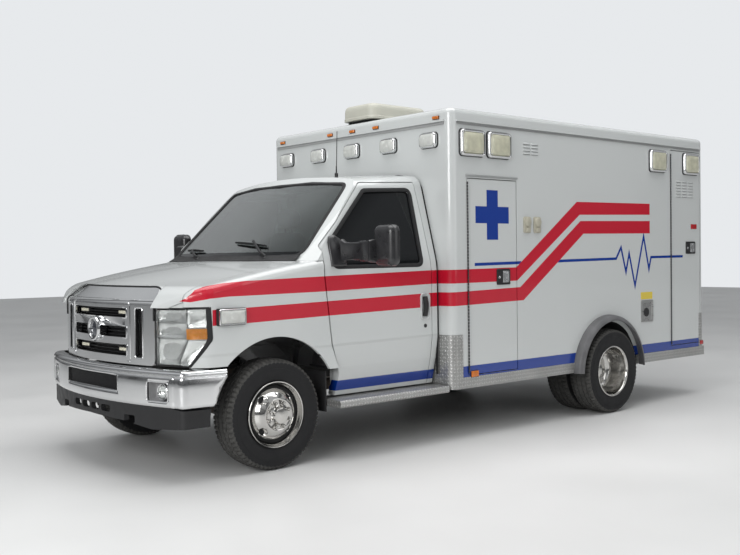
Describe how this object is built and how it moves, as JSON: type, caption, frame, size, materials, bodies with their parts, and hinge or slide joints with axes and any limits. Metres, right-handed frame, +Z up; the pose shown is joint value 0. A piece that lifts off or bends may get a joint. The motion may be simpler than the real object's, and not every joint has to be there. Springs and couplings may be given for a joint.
{
  "type": "ambulance",
  "caption": "Van-cab ambulance with dual rear wheels, steered front wheels, opening cab, compartment, entry and rear doors, and a box-shaped patient module.",
  "frame": {"origin": "on the ground at the middle of the vehicle's bounding box", "axes": "+X to the vehicle's left, the driver's side; the front faces -Y; +Z up"},
  "size_m": [2.936, 6.101, 2.705],
  "materials": {
    "paint": "gloss grey-white paint",
    "frame_paint": "satin black",
    "cast": "rough",
    "engine": "rough",
    "chrome": "polished",
    "tread_plate": "tread plate",
    "alloy": "brushed",
    "black_plastic": "textured",
    "grey_plastic": "textured",
    "rubber": "matte",
    "tyre": "matte",
    "steel_tank": "satin",
    "exhaust": "heat-dulled",
    "glass": "tinted",
    "lamp_clear": "clear",
    "lamp_white": "ribbed lens",
    "lamp_amber": "lens",
    "lamp_red": "lens",
    "shroud": "moulded",
    "interior": "laminate",
    "floor_vinyl": "vinyl",
    "seat_vinyl": "vinyl",
    "dash": "grained"
  },
  "bodies": {
    "chassis": {"frame_rails": "frame_paint", "engine_block": "engine", "front_axle": "cast", "rear_axle": "cast", "rear_springs": "frame_paint", "fuel_tank": "steel_tank", "exhaust_pipe": "exhaust", "cab_shell": "paint", "front_fenders": "paint", "grille": "chrome", "headlamps": "lamp_clear", "front_bumper": "chrome", "front_valance": "black_plastic", "windshield": "glass", "dashboard": "dash", "cab_seats": "seat_vinyl", "running_boards": "tread_plate", "mud_flaps": "rubber", "module_shell": "paint", "module_floor": "floor_vinyl", "wheel_boxes": "floor_vinyl", "entry_step": "floor_vinyl", "cabinet_walls": "interior", "bench_seat": "seat_vinyl", "tread_plates": "tread_plate", "rear_flares": "black_plastic", "rear_step": "tread_plate", "warning_lamps": "lamp_white", "marker_lamps": "lamp_amber", "tail_lamps": "lamp_red", "roof_air_unit": "shroud", "service_inlets": "alloy"},
    "steer_knuckle_left": {"knuckle_left": "cast"},
    "steer_knuckle_right": {"knuckle_right": "cast"},
    "wheel_front_left": {"tyre_front_left": "tyre", "rim_front_left": "chrome"},
    "wheel_front_right": {"tyre_front_right": "tyre", "rim_front_right": "chrome"},
    "wheels_rear_left": {"tyres_rear_left": "tyre", "rims_rear_left": "chrome"},
    "wheels_rear_right": {"tyres_rear_right": "tyre", "rims_rear_right": "chrome"},
    "door_left": {"cab_door_left": "paint", "door_glass_left": "glass", "mirror_left": "black_plastic"},
    "door_right": {"cab_door_right": "paint", "door_glass_right": "glass", "mirror_right": "black_plastic"},
    "hood_lid": {"hood": "paint"},
    "street_front_lid": {"street_front_door": "paint"},
    "street_rear_lid": {"street_rear_door": "paint", "street_door_lamp": "lamp_white"},
    "curb_rear_lid": {"curb_rear_door": "paint"},
    "entry_leaf": {"entry_door": "paint", "entry_window": "glass"},
    "rear_leaf_left": {"rear_door_left": "paint", "rear_window_left": "glass"},
    "rear_leaf_right": {"rear_door_right": "paint", "rear_window_right": "glass"}
  },
  "joints": [
    {"name": "steer_left", "type": "hinge", "parent": "chassis", "child": "steer_knuckle_left", "pos_m": [0.8, -2.1845, 0.372], "axis": [0, 0, 1], "range_deg": [-33, 33]},
    {"name": "steer_right", "type": "hinge", "parent": "chassis", "child": "steer_knuckle_right", "pos_m": [-0.8, -2.1845, 0.372], "axis": [0, 0, 1], "range_deg": [-33, 33]},
    {"name": "spin_front_left", "type": "hinge", "parent": "steer_knuckle_left", "child": "wheel_front_left", "pos_m": [0.881, -2.1845, 0.372], "axis": [1, 0, 0], "continuous": true},
    {"name": "spin_front_right", "type": "hinge", "parent": "steer_knuckle_right", "child": "wheel_front_right", "pos_m": [-0.881, -2.1845, 0.372], "axis": [1, 0, 0], "continuous": true},
    {"name": "spin_rear_left", "type": "hinge", "parent": "chassis", "child": "wheels_rear_left", "pos_m": [0.969, 1.3205, 0.372], "axis": [1, 0, 0], "continuous": true},
    {"name": "spin_rear_right", "type": "hinge", "parent": "chassis", "child": "wheels_rear_right", "pos_m": [-0.969, 1.3205, 0.372], "axis": [1, 0, 0], "continuous": true},
    {"name": "cab_door_left_hinge", "type": "hinge", "parent": "chassis", "child": "door_left", "pos_m": [1.013, -1.7735, 0.9], "axis": [0, 0, -1], "range_deg": [0, 68]},
    {"name": "cab_door_right_hinge", "type": "hinge", "parent": "chassis", "child": "door_right", "pos_m": [-1.013, -1.7735, 0.9], "axis": [0, 0, 1], "range_deg": [0, 68]},
    {"name": "hood_hinge", "type": "hinge", "parent": "chassis", "child": "hood_lid", "pos_m": [0, -1.9345, 1.386], "axis": [-1, 0, 0], "range_deg": [0, 50]},
    {"name": "street_front_hinge", "type": "hinge", "parent": "chassis", "child": "street_front_lid", "pos_m": [1.149, -0.4845, 1.25], "axis": [0, 0, -1], "range_deg": [0, 110]},
    {"name": "street_rear_hinge", "type": "hinge", "parent": "chassis", "child": "street_rear_lid", "pos_m": [1.149, 2.3485, 1.45], "axis": [0, 0, -1], "range_deg": [0, 110]},
    {"name": "entry_hinge", "type": "hinge", "parent": "chassis", "child": "entry_leaf", "pos_m": [-1.149, 0.0555, 1.4], "axis": [0, 0, 1], "range_deg": [0, 95]},
    {"name": "curb_rear_hinge", "type": "hinge", "parent": "chassis", "child": "curb_rear_lid", "pos_m": [-1.149, 2.1155, 1.25], "axis": [0, 0, 1], "range_deg": [0, 110]},
    {"name": "rear_left_hinge", "type": "hinge", "parent": "chassis", "child": "rear_leaf_left", "pos_m": [0.85, 2.9465, 1.5], "axis": [0, 0, -1], "range_deg": [0, 110]},
    {"name": "rear_right_hinge", "type": "hinge", "parent": "chassis", "child": "rear_leaf_right", "pos_m": [-0.85, 2.9465, 1.5], "axis": [0, 0, 1], "range_deg": [0, 110]}
  ],
  "couplings": [
    {"joint": "steer_right", "follows": "steer_left", "ratio": 1}
  ]
}
